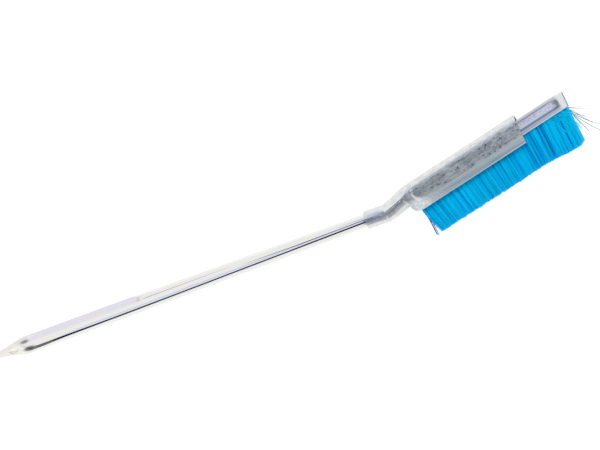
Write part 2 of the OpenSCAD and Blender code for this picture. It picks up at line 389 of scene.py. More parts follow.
def dress(piece, material):
    """Gives a piece one material."""
    piece.data.materials.clear()
    piece.data.materials.append(material)
    print(piece.name, "is", material.name, "of", len(material.node_tree.nodes), "nodes")


def stand_for(piece, slot, *nodes):
    """The piece rides on the brush's one body, in place of CAD nodes. Its slot is not used."""
    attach(piece, "root")
    if nodes:
        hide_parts(*nodes)


print("materials before the first:", len(bpy.data.materials))

# %% [markdown]
# ## Polished steel
#
# The tube is polished stainless steel: a near-mirror with very fine draw lines down its
# length and a few rub marks. To the eye that means sharp bands of whatever stands round it,
# just broken up by the lines. The draw lines are a noise stretched along X. They are about
# 0.05 mm on the real tube and are drawn at 0.4 mm, or they wouldn't show. The press leaves the
# squashed tail satin, not mirror-bright, and there its colour is tinted cream: a painted
# reflection of the pale table. On the tail's shoulder a few patches are painted dark grey and
# made rough: a painted dark reflection.

# %% The tail's painted dark patches
# Each patch of painted dark reflection: its middle along and across the handle, half its length and
# width, and its depth, how dark it is painted
PAINTED_DARK_PATCHES = [
    (-269.8, -2.9, 6.6, 2.3, 0.95), (-271.4, 2.8, 4.2, 1.7, 0.85), (-280.5, 2.2, 2.6, 1.5, 0.2),
]


def off_middle(tree, place, middle, half_l, half_w, turn=0.0):
    """How far a point is from the middle of an oval patch, seen along Z: 1 on its edge."""
    off = add_node(
        tree, "Mapping", {"vector_type": "TEXTURE"}, Vector=place, Location=tuple(middle),
        Rotation=(0, 0, turn), Scale=(half_l * MM, half_w * MM, 1),
    )
    flat_off = add_node(tree, "VectorMath", TIMES, i0=off, i1=(1, 1, 0))
    return add_node(tree, "VectorMath", LENGTH, i0=flat_off)


polished, tree = new_material("polished_steel")
place = add_node(tree, "TexCoord").outputs["Object"]
dark_and_dull = 0.0
# Painted dark reflection: patches on the tail's shoulder, darkened and made rough
for x, y, half_l, half_w, depth in PAINTED_DARK_PATCHES:
    off = off_middle(tree, place, on_handle([x, y, 0]), half_l, half_w)
    dark_patch = add_node(tree, "MapRange", Value=off, From_Min=1.0, From_Max=0.45, To_Max=depth)
    dark_and_dull = add_node(tree, "Math", LARGER, i0=dark_and_dull, i1=dark_patch)
print("dents:", len(PAINTED_DARK_PATCHES))

# %% Polished steel
SATIN_FROM, SATIN_TO = (float(on_handle([x, 0, 0])[0]) for x in (-268.5, -272.5))
# Noise scales are cells to a metre: lines of 83 by 0.4 mm, and smudges of 17 mm
DRAW_LINES = (12, 2500, 2500)
SMUDGES = 60.0

stretched = add_node(tree, "Mapping", Vector=place, Scale=DRAW_LINES)
lines = add_node(tree, "TexNoise", Vector=stretched, Scale=1.0, Detail=3.0)
tone = add_node(tree, "ValToRGB", {"stops": [(0.3, "#f2f2f4"), (0.7, "#fafafa")]}, Fac=lines)
# Painted dark reflection: the patches are painted grey
tone = add_node(tree, "Mix", RGBA, Factor=dark_and_dull, A=tone, B="#737572")
tail = add_node(tree, "SeparateXYZ", Vector=place).outputs["X"]
satin = add_node(tree, "MapRange", Value=tail, From_Min=SATIN_FROM, From_Max=SATIN_TO)
# Painted reflection of the pale table: the satin tail, off the dark patches, is tinted cream
off_dark_patches = add_node(tree, "Math", LESS, i0=1.0, i1=dark_and_dull)
cream_reflection = add_node(tree, "Math", TIMES, i0=satin, i1=off_dark_patches)
tone = add_node(tree, "Mix", RGBA, Factor=cream_reflection, A=tone, B="#f6f6ef")
smudges = add_node(tree, "TexNoise", Vector=place, Scale=SMUDGES, Detail=4.0)
rough = add_node(
    tree, "MapRange", Value=smudges, From_Min=0.4, From_Max=0.75, To_Min=0.04, To_Max=0.11
)
unpolished = add_node(tree, "Math", LARGER, i0=dark_and_dull, i1=satin)
unpolished = add_node(tree, "Math", TIMES, i0=unpolished, i1=0.28)
rough = add_node(tree, "Math", PLUS, i0=rough, i1=unpolished)
bump = add_node(tree, "Bump", Strength=0.06, Distance=0.05 * MM, Height=lines)
steel = add_node(
    tree, "BsdfPrincipled", Base_Color=tone, Metallic=1.0, Roughness=rough, Normal=bump
)
add_node(tree, "OutputMaterial", Surface=steel)
dress(handle, polished)
stand_for(handle, "polished_steel", "handle_tube")

# %% [markdown]
# ## The holder
#
# The holder starts as a round tube. One end is swaged to a socket on the handle, the neck is
# bent, and the other end is slit along its lower side, opened and pressed on the strip as a
# deep U: a round back, flat sides pressed in, and two lips that stand out again below. The
# sheet is one blank whose two long edges meet under the neck and part at the slit. Three
# outlines are drawn first: the round neck, the plain U and the pressed U.

# %% The holder's measures
SOCKET_L = 15.0
SOCKET_R = 6.45
BACK_R = 7.2
BACK_Y = 2.1
NECK_L = 17.0
SLIT_ROUND = 7.0
PRESS_X = 23.6
PRESS_DEPTH = 0.95
HOLDER_L = 112.5
HOLDER_WALL = 1.2
LIP_Y = -11.9
LIP_FLARE = 0.5
CUT_SLANT = radians(7)
# Along the round part, in mm from the elbow: where its middle lies, and its radius
NECK_X = [-15, -5, 0, 6, 11, 17, 24]
NECK_MIDDLE = [0, -0.05, -0.3, 0.0, 0.8, 1.8, BACK_Y]
NECK_RADIUS_X = [-15, -6, 0, 6, 11, 17, 24]
NECK_RADIUS = [SOCKET_R, SOCKET_R, 6.5, 6.75, 7.0, 7.3, BACK_R]
print("the holder runs from", -SOCKET_L, "to", HOLDER_L, "mm and is", 2 * BACK_R, "mm wide")


# %% The holder's outlines
def pressed_outline():
    """Half of the pressed U from the middle of its back to its lip, as (y, z) mm."""
    back = [(BACK_Y + BACK_R * cos(a), BACK_R * sin(a)) for a in np.linspace(0, radians(66), 13)]
    inner = BACK_R - PRESS_DEPTH
    side = [
        (4.3, inner + 0.18), (3.6, inner), (1.5, inner), (-1.5, inner), (-4.5, inner),
        (-5.7, inner + 0.02),
    ]
    lip = [
        (-6.4, inner + 0.2), (-7.1, inner + 0.65), (-7.8, BACK_R - 0.08), (-9.0, BACK_R),
        (LIP_Y, BACK_R + LIP_FLARE),
    ]
    return np.array(back + side + lip)


def plain_outline():
    """The same half outline before pressing: the round back and straight sides."""
    back = [(BACK_Y + BACK_R * cos(a), BACK_R * sin(a)) for a in np.linspace(0, radians(90), 16)]
    side = [(y, BACK_R) for y in (-1.5, -4.5, -7.5, LIP_Y)]
    return np.array(back + side)


def at_share(outline, share):
    """Points at a share of an outline's length, 0 at its start and 1 at its end."""
    steps = np.hypot(*np.diff(outline, axis=0).T)
    length = np.concatenate([[0], np.cumsum(steps)]) / steps.sum()
    return np.stack([np.interp(share, length, outline[:, k]) for k in (0, 1)], -1)


def neck_ring(x, share):
    """The round section at x mm from the elbow: its middle sags at the bend."""
    middle = np.interp(x, NECK_X, NECK_MIDDLE)
    r = np.interp(x, NECK_RADIUS_X, NECK_RADIUS)
    turn = pi * share
    return np.stack([middle + r * np.cos(turn), r * np.sin(turn)], -1)


print("points in the outlines:", len(plain_outline()), "plain,", len(pressed_outline()), "pressed")

# %% [markdown]
# Along the blank one outline passes softly into the next: the round opens to the U behind the
# slit's round start, and the U is pressed in from a step whose ends run out more slowly. Two
# soft folds cross the neck, where the round tube was pulled flat. Solidify then gives the
# sheet its wall.

# %% Wrap the holder
HOLDER_V = [0, 0.4, 0.72, 1]
HOLDER_X = [-SOCKET_L, 17, 30, HOLDER_L]
# Each fold: its place along the neck, and its depth
FOLDS = [(12.0, 0.12), (16.5, 0.16)]
FOLD_W = 1.9
# The press step: how far before PRESS_X it starts, its length, and what its ends add to that
STEP_LEAD = 0.8
STEP_L = 0.5
STEP_RUN = 4.5
BEND_HALF = 5
CUT_RUN = 30
CUT_SHARE = 0.8


def wrap_holder(u, v):
    """The holder's sheet: u runs from one lip over the back to the other, v from the socket."""
    x = np.interp(v, HOLDER_V, HOLDER_X)
    share = np.abs(2 * u - 1)
    side = np.sign(u - 0.5)
    opened = np.sqrt(np.clip(1 - (1 - np.clip((x - NECK_L) / SLIT_ROUND, 0, 1)) ** 2, 0, 1))
    round_part = neck_ring(x, share)
    u_part = at_share(plain_outline(), share)
    step_l = STEP_L + STEP_RUN * ease(-0.5, -6, -np.abs(u_part[:, 0] - 1.0))
    pressed = ease(0, 1, (x - PRESS_X + STEP_LEAD) / (STEP_LEAD + step_l))
    section = round_part + (u_part - round_part) * opened[:, None]
    section = section + (at_share(pressed_outline(), share) - section) * pressed[:, None]
    y, z = section[:, 0], section[:, 1] * side
    for middle, depth in FOLDS:
        fold = depth * np.exp(-(((x - middle + 0.25 * (y - 2)) / FOLD_W) ** 2))
        on_side = np.clip(np.sin(pi * np.clip(share * 1.4, 0, 1)), 0, 1)
        z = z - side * fold * on_side * (x < PRESS_X)
    slant = np.tan(CUT_SLANT) * (BACK_Y + BACK_R - y) * ease(HOLDER_L - CUT_RUN, HOLDER_L, x)
    x = x - slant * CUT_SHARE
    bend = CRANK * ease(-BEND_HALF, BEND_HALF, x)
    on_axis = np.where(x < 0, x, 0)
    beyond = np.where(x > 0, x, 0)
    px = on_axis + beyond * cos(CRANK) - y * np.sin(bend)
    py = beyond * sin(CRANK) + y * np.cos(bend)
    return on_handle(np.stack([px, py, z], -1))


holder = blank("holder", 88, 190, wrap_holder)
close_seams(holder)
add_modifier(
    holder, "SOLIDIFY", thickness=HOLDER_WALL * MM, offset=-1, use_even_offset=False
)
smooth(holder, 50)

# %% [markdown]
# ## Galvanised steel
#
# The holder is dipped in zinc. Zinc cools in crystals of a few millimetres, the spangle, each
# a slightly different grey, and a finer fleck lies over them. The pattern is laid on the
# head's own axes, turned back by the crank, so that all later zones can follow the pressed
# side by plain X and Y.

# %% The zinc and its spangle
# Cells to a metre: crystals of 2.4 mm, and flecks of 1.1 mm
SPANGLE = 420.0
FLECKS = 900.0
turned_elbow = Matrix.Rotation(-CRANK, 3, "Z") @ Vector(ELBOW * MM)


def head_place(tree):
    """Object coordinates turned and moved to the head's axes, in metres from the elbow."""
    place = add_node(tree, "TexCoord").outputs["Object"]
    return add_node(
        tree, "Mapping", Vector=place, Rotation=(0, 0, -CRANK), Location=tuple(-turned_elbow)
    )


galvanised, tree = new_material("galvanised_steel")
place = head_place(tree)
parts = add_node(tree, "SeparateXYZ", Vector=place)
head_x, head_y = parts.outputs["X"], parts.outputs["Y"]
spangle = add_node(tree, "TexVoronoi", Vector=place, Scale=SPANGLE)
crystal = add_node(tree, "SeparateColor", Color=spangle.outputs["Color"])
zinc = add_node(tree, "ValToRGB", {"stops": [(0.0, "#dee0e3"), (1.0, "#f2f2f1")]}, Fac=crystal)
flecks = add_node(tree, "TexNoise", Vector=place, Scale=FLECKS, Detail=4.0, Roughness=0.6)
fleck_share = add_node(tree, "Math", TIMES, i0=flecks, i1=0.28)
zinc = add_node(tree, "Mix", RGBA, Factor=fleck_share, A=zinc, B="#c8ccd2")
print("zinc so far:", len(tree.nodes), "nodes")

# %% [markdown]
# The lips stand out below the pressed side. They are painted a darker, cooler grey, a painted
# shade for their turned faces, with lines drawn out along X, from where the slit has opened to
# the free end. Their lower edge gets a painted highlight. Near the neck the lip zone is taller,
# because the slit opens there. A noise that is stretched along X, the drag of the press, moves
# all these borders a little to and fro.

# %% The lips
# Cells to a metre: drag marks of 6 by 1.4 mm, and lines on the lips of 40 by 1.4 mm
DRAG_MARKS = (160, 700, 700)
LIP_LINES = (25, 700, 60)

dragged = add_node(tree, "Mapping", Vector=place, Scale=DRAG_MARKS)
drag = add_node(tree, "TexNoise", Vector=dragged, Scale=1.0, Detail=5.0, Roughness=0.65)
drag_off = add_node(tree, "Math", LESS, i0=drag, i1=0.5)
wave = add_node(tree, "Math", TIMES, i0=drag_off, i1=4 * MM)
side_y = add_node(tree, "Math", PLUS, i0=head_y, i1=wave)
rise = add_node(
    tree, "MapRange", Value=head_x, From_Min=24 * MM, From_Max=48 * MM, To_Min=2.6 * MM, To_Max=0.0
)
lip_y = add_node(tree, "Math", LESS, i0=side_y, i1=rise)
on_lip = add_node(tree, "MapRange", Value=lip_y, From_Min=-5.6 * MM, From_Max=-7.2 * MM)
along_lip = add_node(tree, "MapRange", Value=head_x, From_Min=30 * MM, From_Max=46 * MM)
drawn = add_node(tree, "Mapping", Vector=place, Scale=LIP_LINES)
drawn = add_node(tree, "TexNoise", Vector=drawn, Scale=1.0, Detail=3.0)
# Painted shade: the lips are a darker, cooler grey than the zinc, with lines drawn along X
lip_shade_tone = add_node(tree, "ValToRGB", {"stops": [(0.35, "#aeb9bd"), (0.65, "#c8d1d5")]}, Fac=drawn)
lip_shade_share = add_node(tree, "Math", TIMES, i0=on_lip, i1=along_lip)
zinc = add_node(tree, "Mix", RGBA, Factor=lip_shade_share, A=zinc, B=lip_shade_tone)
# Painted highlight along the lips' lower edge
edge = add_node(tree, "MapRange", Value=head_y, From_Min=-11.2 * MM, From_Max=-11.6 * MM)
edge = add_node(tree, "Math", TIMES, i0=edge, i1=0.8)
zinc = add_node(tree, "Mix", RGBA, Factor=edge, A=zinc, B="#f4fbfd")
print("zinc so far:", len(tree.nodes), "nodes")

# %% [markdown]
# The pressed side, between the back's roll and the lips, is painted darker from the press step
# onward: a painted shade on the flat pressed faces. The tool that slid over it left drag marks,
# pits and a few bright specks.

# %% The pressed side's painted shade
# Cells to a metre: the pits come from a noise of 1.9 mm, of which only the lowest part shows
PITS = 520.0

under_roll = add_node(tree, "MapRange", Value=side_y, From_Min=4.7 * MM, From_Max=2.9 * MM)
over_lip = add_node(tree, "MapRange", Value=lip_y, From_Min=-7.4 * MM, From_Max=-5.6 * MM)
slope = add_node(tree, "Math", PLUS, i0=side_y, i1=1.5 * MM)
slope = add_node(tree, "Math", TIMES, i0=slope, i1=0.35)
step_x = add_node(tree, "Math", PLUS, i0=head_x, i1=slope)
past_step = add_node(tree, "MapRange", Value=step_x, From_Min=23.4 * MM, From_Max=24.4 * MM)
pressed_face = add_node(tree, "Math", TIMES, i0=under_roll, i1=over_lip)
pressed_face = add_node(tree, "Math", TIMES, i0=pressed_face, i1=past_step)
# Painted shade: the pressed side is darker, varied by the drag marks
pressed_face_shade = {"stops": [(0.3, "#8d959b"), (0.5, "#b2b7bb"), (0.7, "#d3d5d6")]}
pressed_face_shade = add_node(tree, "ValToRGB", pressed_face_shade, Fac=drag)
zinc = add_node(tree, "Mix", RGBA, Factor=pressed_face, A=zinc, B=pressed_face_shade)

worn = add_node(tree, "TexNoise", Vector=place, Scale=PITS, Detail=3.0, Roughness=0.55)
pits = add_node(tree, "ValToRGB", {"stops": [(0.33, 1.0), (0.40, 0.0)]}, Fac=worn)
pits = add_node(tree, "Math", TIMES, i0=pits, i1=pressed_face)
pits = add_node(tree, "Math", TIMES, i0=pits, i1=0.8)
zinc = add_node(tree, "Mix", RGBA, Factor=pits, A=zinc, B="#3a4046")
specks = add_node(tree, "ValToRGB", {"stops": [(0.64, 0.0), (0.70, 1.0)]}, Fac=flecks)
specks = add_node(tree, "Math", TIMES, i0=specks, i1=pressed_face)
specks = add_node(tree, "Math", TIMES, i0=specks, i1=0.7)
zinc = add_node(tree, "Mix", RGBA, Factor=specks, A=zinc, B="#f2f3f4")
print("zinc so far:", len(tree.nodes), "nodes")

# %% [markdown]
# The ridge over the lips, where the press stopped, is painted darker: a painted shade along the
# bend. Where the slit opens, a patch is painted paler, flecked and less metallic. Swaging
# polished the zinc of the socket and the neck, so they are less rough.

# %% Galvanised steel
PALE_PATCH_AT = (22.5 * MM, -7.8 * MM, 0)

# Painted shade along the ridge over the lips
ridge_shade = add_node(tree, "Math", PLUS, i0=head_y, i1=6.8 * MM)
ridge_shade = add_node(tree, "Math", UNSIGNED, i0=ridge_shade)
ridge_shade = add_node(tree, "MapRange", Value=ridge_shade, From_Min=1.1 * MM, From_Max=0.5 * MM, To_Max=0.8)
ridge_shade = add_node(tree, "Math", TIMES, i0=ridge_shade, i1=past_step)
zinc = add_node(tree, "Mix", RGBA, Factor=ridge_shade, A=zinc, B="#bfc2b8")
# A paler, flecked and less metallic patch where the slit opens
from_pale_patch = off_middle(tree, place, PALE_PATCH_AT, 10, 5.4, turn=-0.25)
from_pale_patch = add_node(tree, "Math", PLUS, i0=from_pale_patch, i1=drag_off)
pale_patch = add_node(tree, "MapRange", Value=from_pale_patch, From_Min=1.15, From_Max=0.5, To_Max=0.7)
pale_patch_tone = {"stops": [(0.35, "#98a2a2"), (0.5, "#b3bdbe"), (0.62, "#d2d8d8")]}
pale_patch_tone = add_node(tree, "ValToRGB", pale_patch_tone, Fac=flecks)
zinc = add_node(tree, "Mix", RGBA, Factor=pale_patch, A=zinc, B=pale_patch_tone)
metal = add_node(tree, "Math", LESS, i0=0.85, i1=pale_patch)

matt = add_node(
    tree, "MapRange", Value=drag, From_Min=0.3, From_Max=0.7, To_Min=0.14, To_Max=0.28
)
swaged = add_node(
    tree, "MapRange", Value=head_x, From_Min=12 * MM, From_Max=20 * MM, To_Min=0.45, To_Max=1.0
)
rough = add_node(tree, "Math", TIMES, i0=matt, i1=swaged)
drag_part = add_node(tree, "Math", TIMES, i0=drag, i1=0.7)
crystal_part = add_node(tree, "Math", TIMES, i0=crystal, i1=0.3)
height = add_node(tree, "Math", PLUS, i0=drag_part, i1=crystal_part)
grain = add_node(tree, "Math", TIMES, i0=pressed_face, i1=0.14)
grain = add_node(tree, "Math", PLUS, i0=grain, i1=0.11)
bump = add_node(tree, "Bump", Strength=grain, Distance=0.1 * MM, Height=height)
dipped = add_node(
    tree, "BsdfPrincipled", Base_Color=zinc, Metallic=metal, Roughness=rough, Normal=bump
)
add_node(tree, "OutputMaterial", Surface=dipped)
dress(holder, galvanised)
stand_for(holder, "galvanised_steel", "brush_holder")

# %% [markdown]
# ## The strip brush's channel
#
# The channel is bright rolled steel, folded to a U round the wire and filaments, with its
# sides pressed in to grip them. The press ends in a round step a few millimetres before the
# free end, and the channel shows its full width there. Its blank has points close together at
# the bends.

# %% The channel
STRIP_X = 23.65
STRIP_L = 126.0
CHANNEL_W = 10.0
CHANNEL_TOP = 5.1
CHANNEL_LOW = -6.5
CHANNEL_WALL = 0.9
CHANNEL_PRESS = 0.8
CHANNEL_R = 2.0
OPEN_END_L = 5.6
# The press ends on a round line: how much the line curves, and where the step starts and stops
END_CURVE = 0.16
END_STEP = (-3.6, 1.2)
CHANNEL_V = [0, 0.3, 0.86, 1]
CHANNEL_SHARE = [0, 0.68, 0.93, 1]
# The pressed side's outline: how high it lies, and its share of the full press
PRESSED_SIDE = [
    (3.3, 0.03), (2.9, 0.2), (2.4, 0.62), (1.8, 0.92), (1.2, 1.0), (-1.9, 1.0), (-2.5, 0.9),
    (-3.2, 0.5), (-3.9, 0.1), (-4.3, 0.0), (CHANNEL_LOW, 0.0),
]


def channel_outline(pressed):
    """Half of the channel's outside from the middle of its back to its lower lip, (y, z) mm."""
    half = CHANNEL_W / 2
    bend = [
        (CHANNEL_TOP - CHANNEL_R * (1 - cos(a)), half - CHANNEL_R * (1 - sin(a)))
        for a in np.linspace(0, pi / 2, 9)
    ]
    side = [(y, half - share * CHANNEL_PRESS * pressed) for y, share in PRESSED_SIDE]
    return np.array([(CHANNEL_TOP, 0.0), (CHANNEL_TOP, 1.5)] + bend + side)


def wrap_channel(u, v):
    """The channel's sheet: u runs from one lip over the back to the other, v to the free end."""
    x = STRIP_X + STRIP_L * np.interp(v, CHANNEL_V, CHANNEL_SHARE)
    share = np.abs(2 * u - 1)
    plain = at_share(channel_outline(0), share)
    end = STRIP_X + STRIP_L - OPEN_END_L - END_CURVE * (plain[:, 0] + 0.2) ** 2
    pressed = 1 - ease(*END_STEP, x - end)
    section = plain + (at_share(channel_outline(1), share) - plain) * pressed[:, None]
    y, z = section[:, 0], section[:, 1] * np.sign(u - 0.5)
    x = x - tan(CUT_SLANT) * (CHANNEL_TOP - y) * ease(STRIP_X + 60, STRIP_X + STRIP_L, x)
    return on_head(np.stack([x, y, z], -1))


channel = blank("channel", 72, 120, wrap_channel)
edit(channel)
leave_facing_out()

# %% [markdown]
# An open sheet has no outside that Blender could find by itself, so the faces at the top are
# measured, and all are turned over if those look down. Then Solidify gives the wall.

# %% The channel's wall
TOP_BAND = 0.4 * MM
top_z = max(v.co.z for v in channel.data.vertices)
top_faces = [f for f in channel.data.polygons if f.center.z > top_z - TOP_BAND]
looks_up = sum(f.normal.z for f in top_faces) > 0
if not looks_up:
    edit(channel)
    bpy.ops.mesh.flip_normals()
    bpy.ops.object.mode_set(mode="OBJECT")
print("the sheet faced out by itself:", looks_up)
add_modifier(
    channel, "SOLIDIFY", thickness=CHANNEL_WALL * MM, offset=-1, use_even_offset=False
)
smooth(channel, 50)

# %% [markdown]
# ## Bright rolled steel
#
# Cold-rolled strip is smooth but not a mirror: it mirrors soft bands, cool and slightly
# lavender, with streaks along its length. The pressed part of the side is mottled where the
# tool gripped it, with painted glints, more so away from the holder. Near the holder its lower
# part gets a painted white highlight.

# %% Streaks and the pressed side
# Cells to a metre: streaks of 11 by 0.7 mm, and grip marks with painted glints of 2.2 by 0.8 mm
STREAKS = (90, 1500, 1500)
GRIP_MARKS_AND_GLINTS = (450, 1200, 1200)

rolled, tree = new_material("bright_rolled_steel")
place = head_place(tree)
parts = add_node(tree, "SeparateXYZ", Vector=place)
head_x, head_y = parts.outputs["X"], parts.outputs["Y"]
streaked = add_node(tree, "Mapping", Vector=place, Scale=STREAKS)
streaks = add_node(tree, "TexNoise", Vector=streaked, Scale=1.0, Detail=5.0, Roughness=0.6)
tone = {"stops": [(0.3, "#c6c8dc"), (0.5, "#dddff0"), (0.7, "#eef0fc")]}
tone = add_node(tree, "ValToRGB", tone, Fac=streaks)
mottle = add_node(tree, "Mapping", Vector=place, Scale=GRIP_MARKS_AND_GLINTS)
mottle = add_node(tree, "TexNoise", Vector=mottle, Scale=1.0, Detail=3.0, Roughness=0.6)
# The grip marks are dark specks and painted glints
grip_marks_and_glints = {"stops": [(0.36, "#8c94bc"), (0.46, "#d4d8f0"), (0.6, "#ffffff")]}
grip_marks_and_glints = add_node(tree, "ValToRGB", grip_marks_and_glints, Fac=mottle)
# Painted highlight: the lower pressed face near the holder goes white
low_face = add_node(tree, "MapRange", Value=head_y, From_Min=0.6 * MM, From_Max=-1.2 * MM)
by_holder = add_node(
    tree, "MapRange", Value=head_x, From_Min=134 * MM, From_Max=112 * MM, To_Min=0.25
)
holder_highlight = add_node(tree, "Math", TIMES, i0=low_face, i1=by_holder)
grip_marks_and_glints = add_node(tree, "Mix", RGBA, Factor=holder_highlight, A=grip_marks_and_glints, B="#ffffff")
on_press = add_node(tree, "Math", PLUS, i0=head_y, i1=0.4 * MM)
on_press = add_node(tree, "Math", UNSIGNED, i0=on_press)
on_press = add_node(tree, "MapRange", Value=on_press, From_Min=2.4 * MM, From_Max=1.4 * MM)
on_press = add_node(tree, "Math", TIMES, i0=on_press, i1=0.6)
tone = add_node(tree, "Mix", RGBA, Factor=on_press, A=tone, B=grip_marks_and_glints)
print("rolled steel so far:", len(tree.nodes), "nodes")

# %% [markdown]
# The lower lip is painted a cooler grey, a painted reflection of the pale table, with a painted
# highlight on its edge, under a painted shade in the crease. The upper bend is painted a neutral
# grey, a painted reflection of a grey surround. The open end beyond the press is painted cream,
# a painted reflection, with a painted shade in the round step where the press ends.

# %% Bright rolled steel
# Painted reflection: the lower lip is a cooler grey
lip = add_node(tree, "MapRange", Value=head_y, From_Min=-3.6 * MM, From_Max=-4.1 * MM)
tone = add_node(tree, "Mix", RGBA, Factor=lip, A=tone, B="#c6d2da")
# Painted highlight on the lip's edge
edge = add_node(tree, "MapRange", Value=head_y, From_Min=-5.8 * MM, From_Max=-6.2 * MM)
tone = add_node(tree, "Mix", RGBA, Factor=edge, A=tone, B="#ffffff")
# Painted shade in the crease over the lip
crease_shade = add_node(tree, "Math", PLUS, i0=head_y, i1=3.1 * MM)
crease_shade = add_node(tree, "Math", UNSIGNED, i0=crease_shade)
crease_shade = add_node(tree, "MapRange", Value=crease_shade, From_Min=1.2 * MM, From_Max=0.3 * MM)
crease_shade = add_node(tree, "Math", TIMES, i0=crease_shade, i1=0.85)
tone = add_node(tree, "Mix", RGBA, Factor=crease_shade, A=tone, B="#737c98")
# Painted reflection: the upper bend is a neutral grey
upper = add_node(tree, "MapRange", Value=head_y, From_Min=3.0 * MM, From_Max=3.5 * MM)
tone = add_node(tree, "Mix", RGBA, Factor=upper, A=tone, B="#d9dadd")

# Painted reflection: the open end beyond the press is cream. Painted shade in its round step.
pressed_x = add_node(tree, "MapRange", Value=head_x, From_Min=146 * MM, From_Max=140 * MM)
on_strip = add_node(tree, "ValToRGB", {"stops": [(0.1, 0.0), (0.5, 1.0)]}, Fac=pressed_x)
tone = add_node(tree, "Mix", RGBA, Factor=on_strip, A="#fbfbf6", B=tone)
press_end = {"stops": [(0.15, 0.0), (0.45, 1.0), (0.6, 1.0), (1.0, 0.0)]}
press_end = add_node(tree, "ValToRGB", press_end, Fac=pressed_x)
press_end.color_ramp.interpolation = "EASE"
mid_side = add_node(tree, "Math", PLUS, i0=head_y, i1=0.2 * MM)
mid_side = add_node(tree, "Math", UNSIGNED, i0=mid_side)
mid_side = add_node(tree, "MapRange", Value=mid_side, From_Min=3.2 * MM, From_Max=1.2 * MM)
shaded = add_node(tree, "Math", TIMES, i0=press_end, i1=mid_side)
shaded = add_node(tree, "Math", TIMES, i0=shaded, i1=0.7)
tone = add_node(tree, "Mix", RGBA, Factor=shaded, A=tone, B="#5a5e6c")
matt = add_node(
    tree, "MapRange", Value=streaks, From_Min=0.3, From_Max=0.7, To_Min=0.30, To_Max=0.16
)
bump = add_node(tree, "Bump", Strength=0.2, Distance=0.05 * MM, Height=streaks)
bright = add_node(
    tree, "BsdfPrincipled", Base_Color=tone, Metallic=1.0, Roughness=matt, Normal=bump
)
add_node(tree, "OutputMaterial", Surface=bright)
dress(channel, rolled)
stand_for(channel, "bright_steel", "strip_channel")
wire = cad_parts["core_wire"]
dress(wire, rolled)

# %% [markdown]
# ## The filaments
#
# Thousands of nylon filaments, each about 0.3 mm thick, are folded round the wire, and both
# halves of each hang out of the channel. One filament is modelled: a thin three-sided rod,
# cut into a few lengths so that it can bend. It is then copied to its places in one mesh, and
# the copies keep two attributes: a value of their own, so that the material can vary its blue,
# and how far along the filament each point lies.


# %% One filament, and how it is planted
def one_filament(segments):
    """A three-sided rod from y = 0 to y = -1, with rings at equal steps: points and faces."""
    deselect_all()
    bpy.ops.mesh.primitive_cylinder_add(vertices=3, radius=0.5, depth=1, end_fill_type="NGON")
    rod = bpy.context.object
    for step in range(1, segments):
        edit(rod)
        bpy.ops.mesh.bisect(plane_co=(0, 0, step / segments - 0.5), plane_no=(0, 0, 1))
        bpy.ops.object.mode_set(mode="OBJECT")
    points = np.array([v.co for v in rod.data.vertices])
    sides = [f for f in rod.data.polygons if abs(f.normal.z) < 0.5 or f.center.z < 0]
    faces = [tuple(f.vertices)[::-1] for f in sides]
    bpy.data.objects.remove(rod)
    return np.stack([points[:, 0], points[:, 2] - 0.5, points[:, 1]], -1), faces


def plant(name, rod, roots, mids, tips, thick, values):
    """One mesh of rods: each goes from its root by its mid point to its tip."""
    points, faces = rod
    share = -points[:, 1][None, :, None]
    start, bend, end = (1 - share) ** 2, 2 * share * (1 - share), share**2
    curve = start * roots[:, None] + bend * mids[:, None] + end * tips[:, None]
    across = np.stack([points[:, 0], np.zeros(len(points)), points[:, 2]], -1)
    placed = on_head(curve + across[None] * thick[:, None, None])
    count, size = placed.shape[:2]
    mesh = bpy.data.meshes.new(name)
    all_faces = [tuple(i + k * size for i in f) for k in range(count) for f in faces]
    mesh.from_pydata(placed.reshape(-1, 3).tolist(), [], all_faces)
    own = np.repeat(values, size).astype(np.float32)
    mesh.attributes.new("filament", "FLOAT", "POINT").data.foreach_set("value", own)
    reach = np.tile(-points[:, 1], count).astype(np.float32)
    mesh.attributes.new("reach", "FLOAT", "POINT").data.foreach_set("value", reach)
    piece = bpy.data.objects.new(name, mesh)
    bpy.context.scene.collection.objects.link(piece)
    print(name, "planted:", count, "faces:", len(mesh.polygons))
    return piece


rod = one_filament(3)
print("one filament:", len(rod[0]), "points,", len(rod[1]), "faces")

# %% [markdown]
# The rows of filaments fill the channel's mouth. They spread a little to their tips, lean
# together in tufts, which leaves the darker grooves that such a brush shows, and bulge at the
# end near the handle. All the randomness comes from fixed seeds.

# %% Plant the rows
rng = np.random.default_rng(7)
# Real filaments are about 0.3 mm thick: here fewer and thicker ones fill the same row
FILAMENT_D = 0.42
COLUMNS = 400
ROWS = 14
ROOT_W = 6.2
ROOT_X = STRIP_X - 0.6
ROOT_END = STRIP_X + STRIP_L - 1.9
ROOT_Y = CHANNEL_LOW + 1.5
TIP_Y = -32.5
TIP_SPREAD = 1.55
TIP_LINE = 0.94
NEAR_BULGE = -2.6
BULGE_L = 9
# At the free end the filaments get longer over these last millimetres, but for the very last
LONGER_BY = 2.2
LONGER_FROM, LONGER_TO = 28, 8
ROUND_BY, ROUND_FROM = 1.5, 3.5


def soft_noise(x, spacing, seed):
    """Random values, spacing mm apart, with a smooth line through them."""
    knots = np.random.default_rng(seed).uniform(-1, 1, 400)
    t = np.asarray(x, float) / spacing + 50
    i = np.floor(t).astype(int)
    f = ease(0, 1, t - i)
    return knots[i % 400] * (1 - f) + knots[(i + 1) % 400] * f


